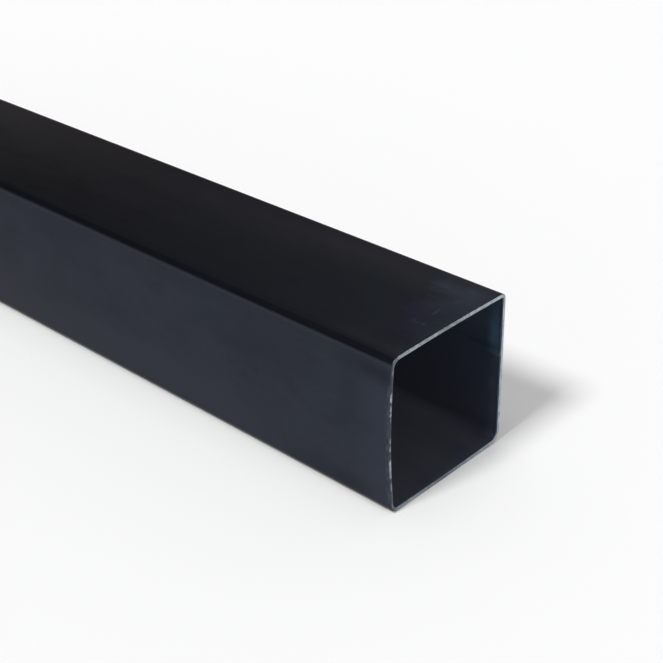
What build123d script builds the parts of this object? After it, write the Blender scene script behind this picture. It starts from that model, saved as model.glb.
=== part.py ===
"""Square steel tube: one length of cold-formed, seam-welded square hollow section.

Millimetres. X runs along the tube, with its middle at x = 0. The tube lies on one of its flat
faces, which is the plane z = 0. Y runs across it, and the weld seam is in the +Y wall.
"""
import os

from build123d import *

# Driving dimensions
length = 500.0                # from one sawn end to the other
side = 60.0                   # outside, across the flats
wall = 1.5                    # thickness of the strip that the tube was formed from
corner_radius = 3.0           # outside of the bends

# The seam's inner bead. The mill scarfs the outer bead flush and leaves the inner one.
seam_height = 36.5            # middle of the bead above the face that the tube lies on
bead_width = 2.4              # across the bead, where it meets the wall
bead_height = 0.5             # how far the bead stands into the bore
toe_radius = 0.4              # hollow where the bead runs out into the wall

# Sizes that follow
bore = side - 2 * wall                                # inside, across the flats
bore_corner_radius = max(corner_radius - wall, 0.0)   # the wall is as thick round a bend
seam_face_y = bore / 2                                # inner face of the wall with the seam
seam_z = seam_height - side / 2                       # seam above the middle of the section
bead_foot_z = seam_z - bead_width / 2
bead_head_z = seam_z + bead_width / 2


def rounded_square(across, radius):
    """Square about the middle of the section, with bent corners."""
    if radius > 0:
        return RectangleRounded(across, across, radius)
    return Rectangle(across, across)


def bead_section():
    """Low arch on the inner face of the wall with the seam, rooted halfway into the wall."""
    root_y = seam_face_y + wall / 2
    with BuildSketch() as bead:
        with BuildLine():
            ThreePointArc(
                (seam_face_y, bead_foot_z),
                (seam_face_y - bead_height, seam_z),
                (seam_face_y, bead_head_z),
            )
            Polyline(
                (seam_face_y, bead_head_z),
                (root_y, bead_head_z),
                (root_y, bead_foot_z),
                (seam_face_y, bead_foot_z),
            )
        make_face()
    return bead.sketch


def tube_section():
    """The metal of the section: an even wall all round, with the bead fused to it."""
    with BuildSketch() as metal:
        add(rounded_square(side, corner_radius))
        add(rounded_square(bore, bore_corner_radius), mode=Mode.SUBTRACT)
        add(bead_section())
        toes = [
            metal.vertices().sort_by_distance((seam_face_y, toe_z))[0]
            for toe_z in (bead_foot_z, bead_head_z)
        ]
        fillet(toes, toe_radius)
    return metal.sketch


def make_tube():
    """The section drawn along X, square-cut at both ends, lying on the plane z = 0."""
    end_plane = Plane(origin=(-length / 2, 0, side / 2), x_dir=(0, 1, 0), z_dir=(1, 0, 0))
    return extrude(end_plane * tube_section(), length)


os.makedirs("parts", exist_ok=True)
tube = make_tube()
tube.label = "tube"
export_step(tube, "parts/tube.step")
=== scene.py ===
"""Looks of a square steel tube: dark rolled skin, bright sawn ends and a weld bead inside.

Metres, in the frame of the CAD model: X along the tube, Z up from the floor that it lies on. The marks on
its materials are placed in millimetres.
"""
import functools
import math

import bpy
import numpy as np
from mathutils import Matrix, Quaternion, Vector, noise


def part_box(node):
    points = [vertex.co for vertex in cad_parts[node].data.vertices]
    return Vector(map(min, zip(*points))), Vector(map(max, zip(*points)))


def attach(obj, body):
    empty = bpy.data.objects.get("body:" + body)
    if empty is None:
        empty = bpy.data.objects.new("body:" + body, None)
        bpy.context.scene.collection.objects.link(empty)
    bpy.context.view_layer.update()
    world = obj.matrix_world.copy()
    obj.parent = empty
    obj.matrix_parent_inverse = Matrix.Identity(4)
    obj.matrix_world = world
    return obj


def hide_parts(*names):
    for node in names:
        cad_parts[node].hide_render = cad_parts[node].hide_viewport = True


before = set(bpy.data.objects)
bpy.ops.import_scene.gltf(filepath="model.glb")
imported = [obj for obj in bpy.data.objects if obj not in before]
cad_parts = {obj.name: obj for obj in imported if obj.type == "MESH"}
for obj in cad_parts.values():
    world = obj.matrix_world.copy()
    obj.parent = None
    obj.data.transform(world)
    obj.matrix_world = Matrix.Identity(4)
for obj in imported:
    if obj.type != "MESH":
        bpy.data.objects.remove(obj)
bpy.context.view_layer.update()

MM = 0.001

# Sizes of the section. The outer ones come from the frame.
LOW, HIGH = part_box("tube")
HALF_LENGTH = (HIGH.x - LOW.x) / 2
SIDE = HIGH.z - LOW.z
WALL = 1.5 * MM
MEAN_BEND = 3 * MM               # bend of the CAD model, for the angle at which a bowed wall meets its bends

# The rolled walls bow out a little between the bends, and no two bends are quite alike.
# In order round the section: underside, seam side, top, plain side, each with the bend after it.
UNDERSIDE, SEAM_SIDE, TOP, PLAIN_SIDE = range(4)
BOWS = (0.3 * MM, 0.0, 0.36 * MM, 1.3 * MM)
BENDS = (4.6 * MM, 2.4 * MM, 4.2 * MM, 3.8 * MM)
RIPPLE = 0.05 * MM               # waviness of the walls, always inward
RIPPLE_SIZE = 60 * MM

# The weld bead inside: a low arch with hollow toes
SEAM_HEIGHT = 36.5 * MM          # middle of the bead above the underside
BEAD_WIDTH = 2.4 * MM
BEAD_HEIGHT = 0.5 * MM
BEAD_WANDER = 0.15 * MM          # how far it strays from its line
WANDER_SIZE = 40 * MM
TOE_REACH = 1.4                  # where the toes end, in half widths of the bead
TOE_HEIGHT = 0.06                # as a share of the bead's height, like the next two
BEAD_RIPPLE = 0.12
DRESSED_HEIGHT = 0.35            # left at the cuts, where the bead is dressed down
DRESSED_LENGTH = 4 * MM          # in which it would rise by its whole height
BEAD_RIPPLE_SIZE = 2.5 * MM

# The saw leaves a narrow uneven break along both edges of a cut. On the seam side the inner one is wider.
OUTER_BREAK = 0.10 * MM
INNER_BREAK = 0.08 * MM
SEAM_BREAK = 0.25 * MM
SEAM_BREAK_FROM = 0.48 * SIDE    # how far across the wider break starts, and where it is full
SEAM_BREAK_TO = 0.495 * SIDE
BREAK_UNEVENNESS = 0.9           # as a share of their width: coarse and fine together
COARSE_SHARE = 0.6
FINE_SHARE = 0.4
COARSE_SIZE = 6 * MM
FINE_SIZE = 1.7 * MM
SAW_MARKS = 0.02 * MM            # unevenness of the cut face
SAW_MARK_SIZE = 2 * MM

# How finely the surface is divided
FLAT_STEPS = 26
BESIDE_BEND = 0.99               # an extra line of points close to each bend keeps the flat's shading flat
BEND_STEPS = 12
BEAD_STEPS = 12
BEAD_ZONE = 0.75                 # reach of the bead's own points either side, in widths of the bead
BEAD_GAP = 1.2                   # how far off the wall's other points stay, in reaches
LENGTH_STEP = 4 * MM
NEAR_END = (5 * MM, 3 * MM, 1.8 * MM, 1 * MM, 0.5 * MM)
END_ZONE = 8 * MM
RING_STEPS = 5
SHARP_ANGLE = math.radians(32)   # an edge that turns by more than this is shaded as sharp

# Material slots of the tube's mesh
SKIN, BORE, CUT = range(3)

# The map that the materials are baked through: a square from 0 to 1
MAP_MARGIN = 0.015
CUT_STRETCH = 3.0                # the narrow cut takes more of the map than its width


# ---------------------------------------------------------------- shape of the tube

def wall_fractions(wall):
    """Where the points of a wall lie, from -1 to 1, closer together at the bead on the seam side."""
    even = np.linspace(-1, 1, FLAT_STEPS + 1)
    even = np.sort(np.r_[even, -BESIDE_BEND, BESIDE_BEND])
    if wall != SEAM_SIDE:
        return even
    flat_half = SIDE / 2 - BENDS[UNDERSIDE]
    seam = (SEAM_HEIGHT - SIDE / 2) / flat_half
    reach = BEAD_ZONE * BEAD_WIDTH / flat_half
    beside = even[abs(even - seam) > reach * BEAD_GAP]
    return np.sort(np.r_[beside, np.linspace(seam - reach, seam + reach, BEAD_STEPS + 1)])


def section():
    """Columns of the surface: a point (y, z) of the outer outline, its outward normal and its flatness."""
    normals = [np.array(n, float) for n in ((0, -1), (1, 0), (0, 1), (-1, 0))]
    half = SIDE / 2
    lean = [math.atan(2 * bow / (half - MEAN_BEND)) for bow in BOWS]

    def centre(k):
        """Middle of the bend after wall k."""
        after = (k + 1) % 4
        return (
            normals[k] * (half - BOWS[k] - BENDS[k] * math.cos(lean[k]))
            + normals[after] * (half - BOWS[after] - BENDS[k] * math.cos(lean[after]))
        )

    middle = np.array((0, half))
    columns = []
    for k in range(4):
        after = (k + 1) % 4
        n, along = normals[k], normals[after]
        start = centre((k - 1) % 4) @ along - BENDS[k - 1] * math.sin(lean[k])
        end = centre(k) @ along + BENDS[k] * math.sin(lean[k])
        for u in wall_fractions(k):
            across = n * (half - BOWS[k] * u * u)
            sideways = along * ((start + end) / 2 + u * (end - start) / 2)
            outward = n * math.cos(lean[k] * u) + along * math.sin(lean[k] * u)
            columns.append((middle + across + sideways, outward, 1 - u ** 4))
        first, last = lean[k], math.pi / 2 - lean[after]
        for step in range(1, BEND_STEPS):
            angle = first + (last - first) * step / BEND_STEPS
            outward = n * math.cos(angle) + along * math.sin(angle)
            columns.append((middle + centre(k) + outward * BENDS[k], outward, 0.0))
    return columns


def wave(x, point, size, seed):
    """Smooth noise from -1 to 1 with lumps of about that size."""
    return noise.noise(Vector((x, point[0], point[1])) / size + Vector((seed, 0, 0)))


def bead_relief(x, z):
    """How far the weld bead stands off the inner wall: a rippled arch with hollow toes, lower at the cuts."""
    wander = BEAD_WANDER * wave(x, (0, 0), WANDER_SIZE, seed=3.0)
    across = abs(z - SEAM_HEIGHT - wander) / (BEAD_WIDTH / 2)
    if across > TOE_REACH:
        return 0.0
    arch = max(0.0, 1 - across * across)
    toe = TOE_HEIGHT * (TOE_REACH - across) ** 2
    ripples = 1 - BEAD_RIPPLE + BEAD_RIPPLE * wave(x, (0, 0), BEAD_RIPPLE_SIZE, seed=7.0)
    dressed = min(1.0, DRESSED_HEIGHT + (HALF_LENGTH - abs(x)) / DRESSED_LENGTH)
    return BEAD_HEIGHT * min(1.0, max(arch, toe) * ripples * dressed)


def skin_depth(x, point, flatness):
    """How far the outer surface lies under the outline: the waviness of the rolled wall."""
    return RIPPLE * flatness * (0.5 + 0.5 * wave(x, point, RIPPLE_SIZE, seed=1.0))


def bore_depth(x, point, flatness):
    """How far the inner surface lies under the outline: the wall, with the bead on the seam side."""
    on_seam_side = point[0] > SIDE / 2 - 1 * MM
    bead = bead_relief(x, point[1]) if on_seam_side else 0.0
    return WALL + bead + skin_depth(x, point, flatness)


def edge_break(x, point, base, seed):
    """Width of the uneven break that the saw leaves along one edge of the cut at x."""
    coarse = wave(x, point, COARSE_SIZE, seed)
    fine = wave(x, point, FINE_SIZE, seed + 2)
    return base * (1 + BREAK_UNEVENNESS * (COARSE_SHARE * coarse + FINE_SHARE * fine))


def edge_breaks(x, point):
    """Widths of the outer and the inner break of the cut at x."""
    seam_share = np.clip((point[0] - SEAM_BREAK_FROM) / (SEAM_BREAK_TO - SEAM_BREAK_FROM), 0, 1)
    outer = edge_break(x, point, OUTER_BREAK, seed=11.0)
    inner = edge_break(x, point, INNER_BREAK + SEAM_BREAK * seam_share, seed=29.0)
    return outer, inner


def stations():
    """Places along the tube with a row of points, closer together at the ends."""
    reach = HALF_LENGTH - END_ZONE
    middle = np.linspace(-reach, reach, round(2 * reach / LENGTH_STEP) + 1)
    near_end = HALF_LENGTH - np.array(NEAR_END)
    return np.r_[-near_end[::-1], middle, near_end]


def end_rows(end, columns):
    """Rows of (x, depth) across the cut at +X or -X, from the outer edge to the bore."""
    tip = end * HALF_LENGTH
    outer, inner = [], []
    face = [[] for _ in range(RING_STEPS + 1)]
    for point, outward, flatness in columns:
        outer_break, inner_break = edge_breaks(tip, point)
        skin, bore = skin_depth(tip, point, flatness), bore_depth(tip, point, flatness)
        outer.append((tip - end * outer_break, skin))
        inner.append((tip - end * inner_break, bore))
        for row, share in zip(face, np.linspace(0, 1, RING_STEPS + 1)):
            depth = skin + outer_break + share * (bore - inner_break - skin - outer_break)
            uneven = 0.5 + 0.5 * wave(tip, point - outward * depth, SAW_MARK_SIZE, seed=17.0)
            row.append((tip - end * SAW_MARKS * uneven, depth))
    return [outer] + face + [inner]


def tube_grid():
    """The surface as a grid that closes both ways, and the material of the strip after each of its rows.

    Rows go once round the wall: along the skin to +X, across the cut, back through the bore, across the
    other cut. Columns go round the section.
    """
    columns = section()
    skin = [[(x, skin_depth(x, point, flatness)) for point, _, flatness in columns] for x in stations()]
    bore = [[(x, bore_depth(x, point, flatness)) for point, _, flatness in columns] for x in stations()[::-1]]
    cut_strips = [SKIN] + [CUT] * RING_STEPS + [BORE]
    rows = skin + end_rows(1, columns) + bore + end_rows(-1, columns)[::-1]
    strips = [SKIN] * len(skin) + cut_strips + [BORE] + [BORE] * len(bore) + cut_strips[::-1] + [SKIN]
    grid = []
    for row in rows:
        placed = [point - outward * depth for (point, outward, _), (_, depth) in zip(columns, row)]
        grid.append([(x, y, z) for (x, _), (y, z) in zip(row, placed)])
    return grid, strips


def bake_places(grid, strips):
    """Corners of each face on the bake map: skin with the +X cut, beside bore with the -X cut."""
    points = np.array(grid)
    around = np.linalg.norm(np.roll(points[0], -1, axis=0) - points[0], axis=1)
    along = np.linalg.norm(np.roll(points, -1, axis=0) - points, axis=2).mean(axis=1)
    along = along * [CUT_STRETCH if strip == CUT else 1 for strip in strips]
    width, height = (1 - 3 * MAP_MARGIN) / 2, 1 - 2 * MAP_MARGIN
    corners = []
    for half, lengths in enumerate(np.split(along, 2)):
        left_side = MAP_MARGIN + half * (MAP_MARGIN + width)
        u = left_side + width * np.r_[0, np.cumsum(around)] / sum(around)
        v = MAP_MARGIN + height * np.r_[0, np.cumsum(lengths)] / sum(lengths)
        for low, high in zip(v[:-1], v[1:]):
            for left, right in zip(u[:-1], u[1:]):
                corners.append(((left, low), (right, low), (right, high), (left, high)))
    return corners


def make_tube(materials):
    """The tube as one closed mesh, with its materials and its bake map."""
    grid, strips = tube_grid()
    row_count, column_count = len(grid), len(grid[0])
    faces, slots = [], []
    for r, strip in enumerate(strips):
        here, after = r * column_count, (r + 1) % row_count * column_count
        for j in range(column_count):
            right = (j + 1) % column_count
            faces.append((here + j, here + right, after + right, after + j))
            slots.append(strip)
    mesh = bpy.data.meshes.new("rolled_tube")
    mesh.from_pydata([point for row in grid for point in row], [], faces)
    for material in materials:
        mesh.materials.append(material)
    mesh.polygons.foreach_set("material_index", slots)
    mesh.polygons.foreach_set("use_smooth", [True] * len(faces))
    mesh.uv_layers.new(name="OFBake").data.foreach_set("uv", np.ravel(bake_places(grid, strips)))
    mesh.update()
    mesh.set_sharp_from_angle(angle=SHARP_ANGLE)
    tube = bpy.data.objects.new("rolled_tube", mesh)
    bpy.context.scene.collection.objects.link(tube)
    return tube


# ---------------------------------------------------------------- nodes

class Nodes:
    """A node tree, with a method for each kind of node that the looks are made of."""

    def __init__(self, tree):
        self.tree = tree
        tree.nodes.clear()

    def add(self, kind, inputs, **settings):
        """A node with its settings made and its inputs set or linked; inputs may be named or numbered."""
        made = self.tree.nodes.new(kind)
        for name, value in settings.items():
            setattr(made, name, value)
        for key, value in inputs.items():
            if isinstance(value, bpy.types.NodeSocket):
                self.tree.links.new(value, made.inputs[key])
            else:
                made.inputs[key].default_value = value
        return made

    @functools.cached_property
    def place(self):
        """Object coordinates in metres."""
        return self.add("ShaderNodeTexCoord", {}).outputs["Object"]

    @functools.cached_property
    def position(self):
        """How far along, across and up a point lies, in millimetres."""
        scaled = self.add("ShaderNodeVectorMath", {0: self.place, "Scale": 1 / MM}, operation="SCALE")
        parts = self.add("ShaderNodeSeparateXYZ", {0: scaled.outputs["Vector"]})
        return parts.outputs["X"], parts.outputs["Y"], parts.outputs["Z"]

    @functools.cached_property
    def from_end(self):
        """Millimetres from the nearer cut end."""
        along, _, _ = self.position
        return self.maths("SUBTRACT", HALF_LENGTH / MM, self.maths("ABSOLUTE", along))

    def maths(self, operation, a, b=0.0):
        return self.add("ShaderNodeMath", {0: a, 1: b}, operation=operation).outputs[0]

    def product(self, first, *others):
        for other in others:
            first = self.maths("MULTIPLY", first, other)
        return first

    def total(self, first, *others):
        for other in others:
            first = self.maths("ADD", first, other)
        return first

    def spread(self, value, low, high, to_low=0.0, to_high=1.0):
        """Maps low..high to to_low..to_high, clamped."""
        limits = {"From Min": low, "From Max": high, "To Min": to_low, "To Max": to_high}
        return self.add("ShaderNodeMapRange", {"Value": value, **limits}).outputs["Result"]

    def profile(self, value, points):
        """A share that follows straight lines through the points (value, share), and is level beyond them."""
        share = points[0][1]
        for (low, before), (high, after) in zip(points[:-1], points[1:]):
            if before != after:
                share = self.total(share, self.spread(value, low, high, 0.0, after - before))
        return share

    def lumps(self, size, detail=2.0, stretch=(1, 1, 1), turn=(0, 0, 0)):
        """Noise from 0 to 1 with lumps of about that many millimetres, drawn out by the stretch."""
        place = self.place
        if any(turn):
            turned = {"Vector": place, "Rotation": turn}
            place = self.add("ShaderNodeVectorRotate", turned, rotation_type="EULER_XYZ").outputs["Vector"]
        scale = [1 / (MM * s) for s in stretch]
        scaled = self.add("ShaderNodeVectorMath", {0: place, 1: scale}, operation="MULTIPLY")
        texture = {"Vector": scaled.outputs["Vector"], "Scale": 1 / size, "Detail": detail}
        return self.add("ShaderNodeTexNoise", texture).outputs["Fac"]

    def centred(self, noise_value, reach):
        """Noise moved to lie about 0, up to half the reach either way."""
        return self.product(self.maths("SUBTRACT", noise_value, 0.5), reach)

    def mix(self, factor, a, b, mode="MIX"):
        """Colour a with b laid over it. A colour is three numbers or a socket."""
        made = self.tree.nodes.new("ShaderNodeMix")
        made.data_type = "RGBA"
        made.blend_type = mode
        for socket, value in ((made.inputs[0], factor), (made.inputs[6], a), (made.inputs[7], b)):
            if isinstance(value, bpy.types.NodeSocket):
                self.tree.links.new(value, socket)
            else:
                socket.default_value = (*value, 1) if isinstance(value, tuple) else value
        return made.outputs[2]

    def lay(self, base, marks, fields):
        """The base colour with marks laid over it in turn. See "marks" below for what a mark holds."""
        for colour, *places in marks:
            shares = []
            for place in places:
                profiles = [self.profile(fields[name], points) for name, points in place.items()]
                shares.append(self.product(*profiles))
            base = self.mix(self.total(*shares), base, colour)
        return base

    def stroke(self, middle, turn, length, width):
        """1 on a short straight mark seen from above: its middle, its angle from X, its length and width."""
        turned = {"Vector": self.place, "Center": middle, "Angle": -turn}
        about = self.add("ShaderNodeVectorRotate", turned, rotation_type="Z_AXIS").outputs["Vector"]
        apart = self.add("ShaderNodeVectorMath", {0: about, 1: middle}, operation="SUBTRACT")
        parts = self.add("ShaderNodeSeparateXYZ", {0: apart.outputs["Vector"]})
        along = self.spread(self.maths("ABSOLUTE", parts.outputs["X"]), length / 4, length / 2, 1.0, 0.0)
        across = self.spread(self.maths("ABSOLUTE", parts.outputs["Y"]), 0.0, width / 2, 1.0, 0.0)
        return self.product(along, across)

    def distance_from(self, across, up):
        """Millimetres from the line along the tube through that point of the section."""
        flat = {0: self.place, 1: (0, 1 / MM, 1 / MM)}
        flat = self.add("ShaderNodeVectorMath", flat, operation="MULTIPLY").outputs["Vector"]
        ends = {0: flat, 1: (0, across, up)}
        return self.add("ShaderNodeVectorMath", ends, operation="DISTANCE").outputs["Value"]

    def surface(self, inputs, height, strength, depth):
        """The Principled shader and the output. The height makes a bump of that strength and depth."""
        bump = self.add("ShaderNodeBump", {"Height": height, "Strength": strength, "Distance": depth})
        shader = self.add("ShaderNodeBsdfPrincipled", {"Normal": bump.outputs["Normal"], **inputs})
        self.add("ShaderNodeOutputMaterial", {"Surface": shader.outputs["BSDF"]})


def new_material(name):
    material = bpy.data.materials.new(name)
    material.use_nodes = True
    return material, Nodes(material.node_tree)


# ---------------------------------------------------------------- marks on the rolled skin

# A mark is a colour and one or more places. A place gives profiles to some of the material's fields, each as
# points (value, share) with straight lines between them. The place's share is the product of its profiles,
# and the mark's share is the sum over its places. The fields are made in skin_fields and bore_fields. Three
# of them are in both, in millimetres: "end" is the distance from the nearer cut, "across" runs from the
# middle towards the seam side, and "up" from the underside.

# Profiles that several marks share
ON_TOP = ((51, 0.10), (60, 1))   # "up"; the others are "across"
MIDDLE_OF_TOP = ((-18, 0), (-9, 1), (6, 1), (15.6, 0))
BACK_EDGE = ((22.2, 0), (25.8, 0.55))
SEAM_FACE = ((29.4, 0), (29.7, 1))

# Oil film of the rolling mill, darker and lighter in blotches. On top of that the skin is painted lighter low
# down and darker at the top: painted shade by height, not the oil.
SKIN_DARK = (0.0261, 0.0305, 0.0430)
SKIN_LIGHT = (0.0337, 0.0397, 0.0547)
PAINTED_HEIGHT_SHADE = ((0, 0.22), (60, -0.22))

FILM_MARKS = (
    # Streaks drawn out along the tube
    ((0.039, 0.044, 0.0575), {"streaks": ((0.45, 0), (0.70, 0.20))}),
    # Dark smudges, and a fine dark mottle
    ((0.0205, 0.024, 0.033), {"smudges": ((0.56, 0), (0.72, 0.35))}),
    ((0.0205, 0.024, 0.033), {"mottle": ((0.40, 0), (0.65, 0.14))}),
)

SIDE_MARKS = (
    # Painted light: the side is painted lighter near the cut, below the bend
    ((0.0420, 0.0492, 0.0700), {"end": ((4, 0.5), (18, 0)), "up": ((44.4, 1), (52.8, 0))}),
    # Dark smears near the cut: low down, just under the bend, and where a hand gripped
    (
        (0.017, 0.020, 0.030),
        {"end": ((6, 0), (12, 0.35), (22, 0.35), (38, 0)), "up": ((2, 0), (5, 1), (7, 1), (11, 0))},
        {"end": ((8, 0.60), (23, 0)), "up": ((48.6, 0), (52.8, 1), (54.6, 1), (57, 0))},
        {
            "end": ((11, 0), (15, 1), (18, 1), (24, 0)),
            "up": ((30, 0.04), (44, 0.26), (44.4, 0.26), (52.8, 0)),
        },
    ),
    # Lighter and less blue low down, away from the cut
    ((0.0406, 0.0480, 0.0660), {"up": ((8, 1), (26, 0)), "end": ((30, 0), (70, 0.45))}),
    # Painted reflection: the upper bends are painted lighter, most of all along their lower border
    ((0.046, 0.048, 0.060), {"up": ((57, 0), (57.8, 0.42), (58.8, 0.42), (59.6, 0))}),
    ((0.0500, 0.0515, 0.0590), {"off_border": ((0.1, 0.42), (0.65, 0)), "end": ((3, 0.2), (14, 1))}),
    # Painted shade along the bottom bends, where the tube lies on the floor
    ((0.010, 0.012, 0.016), {"up": ((0.6, 0.8), (3.2, 0))}),
)

# Colours that the heat of the saw has left on the top, with painted reflection among them. Far from the cut
# the edges of the top are oily again.
TOP_MARKS = (
    # Brown along the back, and green in the middle
    (
        (0.051, 0.050, 0.064),
        {"tint_and_sheen": ((12, 0), (20, 0.65), (60, 0.65), (95, 0)), "up": ON_TOP, "across": ((7.2, 0), (19.2, 1))},
    ),
    (
        (0.024, 0.039, 0.046),
        {
            "tint_and_sheen": ((24, 0), (32, 0.45), (38, 0.45), (52, 0)),
            "up": ON_TOP,
            "across": ((-27, 0.2), (0, 1), (7.2, 1), (19.2, 0)),
        },
    ),
    # Violet nearer the cut
    (
        (0.042, 0.047, 0.096),
        {"ragged_end": ((2, 0), (8, 0.45), (13, 0.45), (20, 0)), "up": ON_TOP, "across": MIDDLE_OF_TOP},
    ),
    # Pale blue at the cut, most of it towards the back: heat tint, with painted reflection where the top is
    # lighter there
    (
        (0.067, 0.083, 0.118),
        {
            "tint_and_sheen": ((2, 1), (17, 0)),
            "up": ON_TOP,
            "across": ((-27, 0.06), (0, 0.30), (3.6, 0.30), (15, 0.92)),
            "end": ((1, 0.6), (8, 1)),
        },
    ),
    # A painted sheen halfway along: painted reflection on the top
    (
        (0.045, 0.047, 0.066),
        {
            "across": ((3, 0), (15, 0.35), (21.6, 0.35), (27.6, 0)),
            "end": ((60, 0), (90, 1), (130, 1), (170, 0)),
            "up": ON_TOP,
        },
    ),
    # Teal right at the cut
    ((0.040, 0.062, 0.085), {"end": ((1, 0.35), (6, 0)), "up": ON_TOP, "across": MIDDLE_OF_TOP}),
    # The front edge wiped lighter near the cut
    (
        (0.046, 0.049, 0.059),
        {
            "across": ((-26.7, 0), (-24.9, 1), (-23.4, 1), (-16.8, 0)),
            "end": ((20, 0.5), (34, 0)),
            "up": ON_TOP,
        },
    ),
    # The back edge greyed near the cut, and oily further along
    ((0.041, 0.039, 0.046), {"end": ((20, 1), (45, 0)), "up": ON_TOP, "across": BACK_EDGE}),
    ((0.022, 0.0225, 0.033), {"end": ((30, 0), (90, 0.9)), "up": ON_TOP, "across": BACK_EDGE}),
    (
        (0.0165, 0.017, 0.028),
        {"across": ((16.8, 0), (25.2, 1)), "end": ((120, 0), (180, 0.55)), "up": ON_TOP},
    ),
)

# Outside of the weld on the seam side: a planed strip in a blued band
WELD_MARKS = (
    (
        (0.022, 0.028, 0.052),
        {"off_weld": ((-7, 0), (-3, 0.45), (3, 0.45), (7, 0)), "across": SEAM_FACE},
    ),
    (
        (0.062, 0.069, 0.082),
        {"off_weld": ((-1.7, 0), (-1.3, 0.55), (1.3, 0.55), (1.7, 0)), "across": SEAM_FACE},
    ),
)

# Bare patches along the edge of the cut, most of them on the plain side below the bend
EDGE_MARKS = (
    (
        (0.098, 0.112, 0.138),
        {
            "end": ((0.2, 0.5), (1.5, 0)),
            "bare": ((0.42, 0), (0.64, 1)),
            "across": ((-28.2, 1), (-25.2, 0.10)),
            "up": ((46.8, 1), (52.8, 0.2)),
        },
    ),
)

# Scratches on the top close to the +X end: from the end, across, angle from X, length and width
SCRATCHES = (
    (8.5, 3.9, 95, 6.0, 1.6),
    (8.8, -5.7, 60, 2.4, 2.0),
    (6.5, -5.3, 20, 2.2, 1.6),
    (10.6, -5.0, 80, 2.4, 2.2),
    (7.7, 12.9, 40, 3.0, 1.0),
)
SCRATCH_COLOUR = (0.145, 0.163, 0.205)
SCRATCH_SHARE = 0.48

SKIN_ROUGHNESS = (0.19, 0.22)    # from one streak to the next
SMUDGE_ROUGHNESS = 0.02          # how much the smudges add or take away
GRAZING_TINT = (0.615, 0.59, 0.573, 1)   # colour of the reflections seen along the surface
SKIN_BUMP = (0.25, 0.02 * MM)    # strength and depth


def skin_fields(nodes):
    """What the marks on the skin are placed by. The noises run from 0 to 1, and the rest are millimetres."""
    _, across, up = nodes.position
    ragged = nodes.total(
        nodes.centred(nodes.lumps(18.0, 1.0), 22.0),
        nodes.centred(nodes.lumps(3.0, 3.0, (3.0, 1.0, 1.0)), 16.0),
    )
    # The heat tints, and the painted reflection laid with them, reached further along the front of the top
    # than along the back.
    lean = nodes.spread(across, -12.0, 21.0, 12.0, -9.0)
    # The lower border of the upper bends: the plain side's bend is the wider one.
    border_drop = nodes.spread(across, -24.0, 24.0, 3.05, 1.8)
    weld_drift = nodes.centred(nodes.lumps(12.0, 2.0, (6.0, 1.0, 1.0)), 0.6)
    return {
        "end": nodes.from_end,
        "across": across,
        "up": up,
        "ragged_end": nodes.total(nodes.from_end, ragged),
        "tint_and_sheen": nodes.total(nodes.from_end, lean, ragged),
        "off_border": nodes.maths("ABSOLUTE", nodes.total(up, border_drop, -SIDE / MM)),
        "off_weld": nodes.total(up, weld_drift, -SEAM_HEIGHT / MM),
        "streaks": nodes.lumps(1.0, 3.0, (90.0, 2.2, 2.2)),
        "smudges": nodes.lumps(7.0, 4.0, (1.5, 1.0, 1.0)),
        "mottle": nodes.lumps(1.6, 3.0, (2.0, 1.0, 1.0)),
        "bare": nodes.lumps(1.3, 3.0, (1.0, 1.0, 2.0)),
    }


def oil_film_and_height_shade(nodes, fields):
    """Blue-black oil on the skin in blotches, with painted shade by height: lighter low down, darker at the
    top.
    """
    blotches = nodes.lumps(22.0, 4.0, (1.6, 1.0, 1.0))
    # The profile by height is painted shade: lighter low down, darker at the top.
    lightness = nodes.total(blotches, nodes.profile(fields["up"], PAINTED_HEIGHT_SHADE))
    return nodes.mix(nodes.spread(lightness, 0.25, 0.75), SKIN_DARK, SKIN_LIGHT)


def scratches(nodes, base):
    """A few short scratches on the top near the +X end, and the rub along each cut."""
    _, _, up = nodes.position
    marks = 0.0
    for from_end, across, turn, length, width in SCRATCHES:
        middle = (HALF_LENGTH - from_end * MM, across * MM, 0)
        stroke = nodes.stroke(middle, math.radians(turn), length * MM, width * MM)
        marks = nodes.maths("MAXIMUM", marks, stroke)
    rub = nodes.spread(nodes.from_end, 0.5, 9.0, 0.14, 0.0)
    marks = nodes.maths("MAXIMUM", nodes.product(marks, SCRATCH_SHARE), rub)
    broken = nodes.spread(nodes.lumps(1.6), 0.35, 0.65, 0.15, 0.75)
    on_top = nodes.spread(up, 54.0, 58.2)
    return nodes.mix(nodes.product(marks, broken, on_top), base, SCRATCH_COLOUR)


def rolled_skin():
    """Rolled steel with its oil, heat tints, weld strip, scratches and rubbed edges, with painted light and
    shade laid over them.
    """
    material, nodes = new_material("rolled_skin")
    fields = skin_fields(nodes)
    base = oil_film_and_height_shade(nodes, fields)
    base = nodes.lay(base, FILM_MARKS + SIDE_MARKS + TOP_MARKS + WELD_MARKS, fields)
    base = scratches(nodes, base)
    base = nodes.lay(base, EDGE_MARKS, fields)
    streaks, smudges = fields["streaks"], fields["smudges"]
    inputs = {
        "Base Color": base,
        "Roughness": nodes.total(
            nodes.spread(streaks, 0.3, 0.7, *SKIN_ROUGHNESS),
            nodes.spread(smudges, 0.3, 0.7, -SMUDGE_ROUGHNESS, SMUDGE_ROUGHNESS),
        ),
        "Metallic": 1.0,
        "Specular Tint": GRAZING_TINT,
    }
    grain = nodes.lumps(0.5)
    height = nodes.total(nodes.product(grain, 0.15), nodes.product(streaks, 0.5))
    nodes.surface(inputs, height, *SKIN_BUMP)
    return material


# ---------------------------------------------------------------- bore

BORE_DARK = (0.069, 0.076, 0.102)
BORE_LIGHT = (0.081, 0.086, 0.110)
BORE_ROUGHNESS = (0.42, 0.52)
BORE_METALLIC = 0.3              # the bore is dull, so it shines less than bare metal
BORE_BUMP = (0.3, 0.03 * MM)     # strength and depth
SEAM_WALL = ((25, 0), (28, 1))   # profile across

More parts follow.
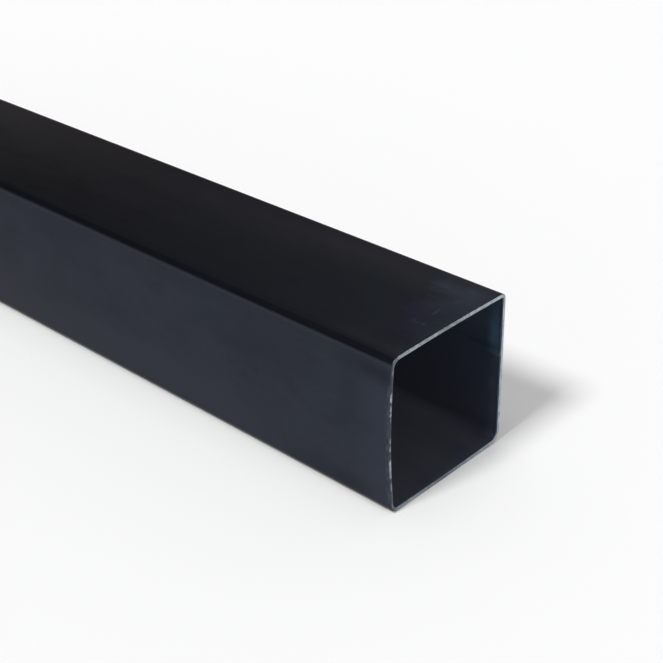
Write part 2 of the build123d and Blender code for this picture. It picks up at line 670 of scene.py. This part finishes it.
BORE_MARKS = (
    # Streaks drawn out along the tube
    ((0.059, 0.071, 0.098), {"streaks": ((0.45, 0), (0.65, 0.3))}),
    # The seam's wall is lighter, and painted darker behind the cut, less so low down and near the top:
    # painted shade
    ((0.084, 0.089, 0.119), {"across": ((25, 0), (28, 0.85))}),
    (
        (0.0165, 0.0243, 0.0455),
        {
            "heat_and_shade": ((0, 0), (5, 1), (11, 1), (95, 0)),
            "up": ((6, 0.58), (24, 0.82), (34.2, 0.82), (46.8, 0.689)),
            "across": SEAM_WALL,
        },
    ),
    # Blued near the cut and painted darker there: painted shade, and more of it on the seam's wall from the
    # bead up
    ((0.026, 0.040, 0.076), {"heat_and_shade": ((0, 1), (9, 0)), "across": ((-12, 0.2), (24, 0.6))}),
    ((0.002, 0.034, 0.062), {"heat_and_shade": ((0, 0.32), (16, 0)), "up": ((30, 0), (37, 1)), "across": SEAM_WALL}),
    # Just inside the mouth the wall above the bead is painted bright blue-green: a painted glow of light,
    # with a pale burr along its edge
    (
        (0.050, 0.105, 0.164),
        {
            "mouth": ((0.4, 0), (1.8, 1), (3.2, 1), (5.8, 0)),
            "off_bead": ((-1, 0), (4, 1), (9, 1), (19, 0)),
            "across": SEAM_WALL,
        },
    ),
    (
        (0.110, 0.150, 0.190),
        {"mouth": ((1, 0), (1.4, 1), (1.6, 1), (2, 0)), "up": ((30, 0), (36, 0.4)), "across": SEAM_WALL},
    ),
    # Darker at the very edge
    ((0.004, 0.020, 0.034), {"end": ((0.4, 0.5), (2.4, 0)), "across": SEAM_WALL}),
    # Painted shadow on the bead's upper flank, and a painted highlight on its lower flank near the mouth
    (
        (0.012, 0.017, 0.030),
        {
            "off_bead": ((0.5, 0), (1.1, 0.38), (1.6, 0.38), (2.6, 0)),
            "end": ((1.5, 0), (4, 1), (5, 1), (60, 0)),
            "across": SEAM_WALL,
        },
    ),
    (
        (0.064, 0.110, 0.138),
        {
            "off_bead": ((-1.9, 0), (-1.3, 1), (-0.8, 1), (0, 0)),
            "end": ((2, 0.5), (6, 0)),
            "across": SEAM_WALL,
        },
    ),
)


def bore_fields(nodes):
    """What the marks in the bore are placed by. The streaks run from 0 to 1, and the rest are millimetres."""
    _, across, up = nodes.position
    # The drift makes the edge of the blue tint and of the painted shade near the cut ragged.
    heat_and_shade_drift = nodes.centred(nodes.lumps(7.0, 3.0, (2.0, 1.0, 1.0)), 12.0)
    mouth_drift = nodes.centred(nodes.lumps(2.5, 3.0, (1.0, 1.0, 1.6)), 3.0)
    return {
        "end": nodes.from_end,
        "across": across,
        "up": up,
        "heat_and_shade": nodes.total(nodes.from_end, heat_and_shade_drift),
        "mouth": nodes.total(nodes.from_end, mouth_drift),
        "off_bead": nodes.maths("SUBTRACT", up, SEAM_HEIGHT / MM),
        "streaks": nodes.lumps(1.0, 3.0, (45.0, 2.0, 2.0)),
    }


def bore_skin():
    """Inside of the tube: duller bare steel, blued at the ends, with painted shade near the cuts, a painted
    glow inside the mouth, and a painted shadow and highlight along the bead.
    """
    material, nodes = new_material("bore_skin")
    fields = bore_fields(nodes)
    blotches = nodes.lumps(14.0, 3.0, (2.0, 1.0, 1.0))
    base = nodes.mix(nodes.spread(blotches, 0.35, 0.65), BORE_DARK, BORE_LIGHT)
    inputs = {
        "Base Color": nodes.lay(base, BORE_MARKS, fields),
        "Roughness": nodes.spread(blotches, 0.3, 0.7, *BORE_ROUGHNESS),
        "Metallic": BORE_METALLIC,
    }
    grain = nodes.lumps(0.5)
    nodes.surface(inputs, nodes.total(grain, fields["streaks"]), *BORE_BUMP)
    return material


# ---------------------------------------------------------------- cut ends

CUT_DULL = (0.155, 0.174, 0.200)
CUT_BRIGHT = (0.410, 0.460, 0.515)
TORN_METAL = (0.036, 0.043, 0.056)
CUT_ROUGHNESS = (0.30, 0.48)     # from one saw line to the next
CUT_BUMP = (0.5, 0.03 * MM)      # strength and depth
SAW_SLANT = math.radians(12)     # lean of the saw lines

# Where the saw left the plain side's wall bright at the +X end, in millimetres: middle height, half the
# length, and share. Each fades from a little inside its ends to a little outside.
BRIGHT_PATCHES = (
    (55.6, 2.0, 0.55),
    (45.6, 1.4, 0.95),
    (41.7, 0.8, 0.8),
    (39.3, 0.5, 0.8),
    (37.4, 0.3, 0.5),
    (29.6, 0.8, 0.65),
    (26.5, 0.8, 0.65),
    (18.6, 3.4, 0.95),
    (11.4, 1.3, 0.65),
    (7.0, 2.0, 0.3),
    (3.6, 1.0, 0.5),
)
FADE_INSIDE = 0.3
FADE_OUTSIDE = 0.8

# Where the saw left the cut duller or brighter than the rest, in millimetres: across, up, reach, and how much
CUT_PATCHES = (
    (-27.5, 58.5, 7, -0.62),
    (0, 60, 12, -0.30),
    (-29, 1, 11, -0.50),
    (0, 0, 17, -0.26),
    (27, 1, 14, 0.30),
)

# Under the plain side's skin the cut is dull down to a ragged line, in millimetres: where the wall is torn,
# and where it is bright. Past that line the torn wall is a little less dull.
TORN_DEPTH = 1.15
BRIGHT_DEPTH = 0.35
LINE_SOFTNESS = 0.3
LINE_WANDER = 0.5
PATCH_WANDER = 1.2
INNER_DULLNESS = 0.85


def shine(nodes, patches, lines, grit):
    """How bright the cut face is, from 0 to 1: brighter towards the seam side, with patches and saw lines."""
    _, across, _ = nodes.position
    level = nodes.total(
        nodes.spread(across, -6.0, 30.0, 0.50, 0.68),
        nodes.spread(patches, 0.38, 0.62, 0.09, -0.09),
        nodes.spread(lines, 0.35, 0.65, -0.12, 0.12),
        nodes.spread(grit, 0.35, 0.65, -0.18, 0.18),
        nodes.spread(nodes.lumps(2.4, 2.0), 0.36, 0.64, -0.20, 0.20),
    )
    for patch_across, patch_up, reach, amount in CUT_PATCHES:
        apart = nodes.distance_from(patch_across, patch_up)
        level = nodes.total(level, nodes.spread(apart, 0.0, reach, amount, 0.0))
    return level


def left_bright(nodes, patches, grit):
    """1 where the saw has left the plain side's wall bright: set patches at +X, and chance ones at -X."""
    along, _, up = nodes.position
    height = nodes.total(up, nodes.centred(grit, PATCH_WANDER))
    share = 0.0
    for middle, half, most in BRIGHT_PATCHES:
        apart = nodes.maths("ABSOLUTE", nodes.maths("SUBTRACT", height, middle))
        patch = nodes.spread(apart, half - FADE_INSIDE, half + FADE_OUTSIDE, most, 0.0)
        share = nodes.maths("MAXIMUM", share, patch)
    near = nodes.product(share, nodes.spread(along, -1.0, 1.0))
    far = nodes.product(nodes.spread(patches, 0.50, 0.42), nodes.spread(along, 1.0, -1.0))
    return nodes.maths("MAXIMUM", near, far)


def torn(nodes, patches, grit):
    """1 where the saw has torn the plain side's wall and left it dull, outward of a bright line."""
    _, across, up = nodes.position
    bright = left_bright(nodes, patches, grit)
    # The plain side bows, so the depth under its skin is measured from the bowed line.
    flat_half = SIDE / 2 - BENDS[PLAIN_SIDE]
    from_middle = nodes.maths("DIVIDE", nodes.maths("SUBTRACT", up, SIDE / 2 / MM), flat_half / MM)
    bowed = nodes.product(from_middle, from_middle, BOWS[PLAIN_SIDE] / MM)
    depth = nodes.maths("SUBTRACT", nodes.total(across, SIDE / 2 / MM), bowed)
    depth = nodes.total(depth, nodes.centred(grit, LINE_WANDER))
    dull_to = nodes.spread(bright, 0.0, 1.0, TORN_DEPTH, BRIGHT_DEPTH)
    past_line = nodes.maths("SUBTRACT", depth, dull_to)
    outer_part = nodes.spread(past_line, 0.0, LINE_SOFTNESS, 1.0, 0.0)
    inner_part = nodes.spread(bright, 0.0, 1.0, INNER_DULLNESS, 0.0)
    dull = nodes.maths("MAXIMUM", outer_part, inner_part)
    on_plain_side = nodes.spread(across, -25.2, -28.2)
    return nodes.product(dull, on_plain_side)


def sawn_metal():
    """Bare steel of the cut: bright, with saw lines, and torn and dull on the plain side."""
    material, nodes = new_material("sawn_metal")
    lines = nodes.lumps(1.0, 2.0, (1.0, 9.0, 0.35), (SAW_SLANT, 0, 0))
    patches = nodes.lumps(11.0, 1.0)
    grit = nodes.lumps(0.9, 3.0)
    base = nodes.mix(shine(nodes, patches, lines, grit), CUT_DULL, CUT_BRIGHT)
    inputs = {
        "Base Color": nodes.mix(torn(nodes, patches, grit), base, TORN_METAL),
        "Roughness": nodes.spread(lines, 0.3, 0.7, *CUT_ROUGHNESS),
        "Metallic": 1.0,
    }
    nodes.surface(inputs, lines, *CUT_BUMP)
    return material


# ---------------------------------------------------------------- studio

# Soft lights in the studio round the tube: direction, cosine where each starts and where it peaks, and level
GLOWS = (
    ((-0.28, 0.78, 0.56), 0.75, 1.0, 0.525),
    ((-0.40, 0.35, 0.85), 0.69, 1.0, 0.407),
    ((-0.05, 0.0, 1.0), 0.93, 0.97, 1.3),
)
# Level of the studio by height, from the horizon to straight overhead
STUDIO_LEVELS = ((0.0, 0.81), (0.22, 0.79), (0.36, 0.144), (1.0, 0.144))
# Suns: name, direction, energy, and degrees across
SUNS = (
    ("key", (-0.05, -0.62, 0.78), 2.05, 14),
    ("fill", (0.88, -0.14, 0.42), 1.3, 30),
)
FLOOR_REACH = 30.0
FLOOR_PAINT = (0.94, 0.94, 0.94, 1)


def make_floor():
    corners = [(-1, -1), (1, -1), (1, 1), (-1, 1)]
    mesh = bpy.data.meshes.new("floor")
    mesh.from_pydata([(x * FLOOR_REACH, y * FLOOR_REACH, 0) for x, y in corners], [], [(0, 1, 2, 3)])
    floor = bpy.data.objects.new("floor", mesh)
    bpy.context.scene.collection.objects.link(floor)
    material, nodes = new_material("floor_white")
    paint = {"Base Color": FLOOR_PAINT, "Roughness": 1.0, "Specular IOR Level": 0.0}
    shader = nodes.add("ShaderNodeBsdfPrincipled", paint)
    nodes.add("ShaderNodeOutputMaterial", {"Surface": shader.outputs["BSDF"]})
    mesh.materials.append(material)


def make_world():
    """Studio round the tube: pale near the horizon and dim above, with the soft lights."""
    world = bpy.data.worlds.new("studio")
    bpy.context.scene.world = world
    world.use_nodes = True
    nodes = Nodes(world.node_tree)
    direction = nodes.add("ShaderNodeTexCoord", {}).outputs["Generated"]
    height = nodes.add("ShaderNodeSeparateXYZ", {0: direction}).outputs["Z"]
    ramp = nodes.add("ShaderNodeValToRGB", {"Fac": height})
    elements = ramp.color_ramp.elements
    for at, _ in STUDIO_LEVELS[2:]:
        elements.new(at)
    for element, (at, level) in zip(elements, STUDIO_LEVELS):
        element.position = at
        element.color = (level, level, level, 1)
    colour = ramp.outputs["Color"]
    for towards, start, peak, level in GLOWS:
        towards = Vector(towards).normalized()
        facing = nodes.add("ShaderNodeVectorMath", {0: direction, 1: towards}, operation="DOT_PRODUCT")
        glow = nodes.spread(facing.outputs["Value"], start, peak, 0.0, level)
        grey = nodes.add("ShaderNodeCombineColor", {0: glow, 1: glow, 2: glow}).outputs[0]
        colour = nodes.mix(1.0, colour, grey, "LIGHTEN")
    background = nodes.add("ShaderNodeBackground", {"Color": colour, "Strength": 1.0})
    nodes.add("ShaderNodeOutputWorld", {"Surface": background.outputs[0]})


def make_sun(name, direction, energy, degrees_across):
    light = bpy.data.lights.new(name, "SUN")
    light.energy = energy
    light.angle = math.radians(degrees_across)
    lamp = bpy.data.objects.new(name, light)
    lamp.rotation_mode = "QUATERNION"
    lamp.rotation_quaternion = Vector(direction).to_track_quat("Z", "Y")
    bpy.context.scene.collection.objects.link(lamp)


# The camera aims at the middle of the +X end, and stands off to the side of that line.
CAMERA_AZIMUTH = math.radians(-46.54)      # from +X towards +Y
CAMERA_ELEVATION = math.radians(29.88)
CAMERA_ROLL = math.radians(-1.14)
CAMERA_DISTANCE = 7.653 * SIDE
CAMERA_LENS = 75.56                       # in millimetres, like the width of the sensor
CAMERA_SENSOR = 36
CAMERA_NEAR = 10 * MM                     # nothing closer than this is shown
AIM_RIGHT = 0.638 * SIDE                  # where the aim point lies in the camera's view
AIM_UP = -0.3955 * SIDE


def make_camera():
    data = bpy.data.cameras.new("camera")
    data.lens = CAMERA_LENS
    data.sensor_width = CAMERA_SENSOR
    data.clip_start = CAMERA_NEAR
    camera = bpy.data.objects.new("camera", data)
    bpy.context.scene.collection.objects.link(camera)
    flat = math.cos(CAMERA_ELEVATION)
    rise = math.sin(CAMERA_ELEVATION)
    back = Vector((flat * math.cos(CAMERA_AZIMUTH), flat * math.sin(CAMERA_AZIMUTH), rise))
    turn = back.to_track_quat("Z", "Y") @ Quaternion((0, 0, 1), CAMERA_ROLL)
    aim = Vector((HALF_LENGTH, 0, SIDE / 2))
    camera.rotation_mode = "QUATERNION"
    camera.rotation_quaternion = turn
    camera.location = aim + back * CAMERA_DISTANCE - turn @ Vector((AIM_RIGHT, AIM_UP, 0))
    bpy.context.scene.camera = camera


tube = make_tube([rolled_skin(), bore_skin(), sawn_metal()])
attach(tube, "root")
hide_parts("tube")

make_floor()
make_world()
for sun in SUNS:
    make_sun(*sun)
make_camera()
bpy.context.scene.view_settings.view_transform = "Standard"
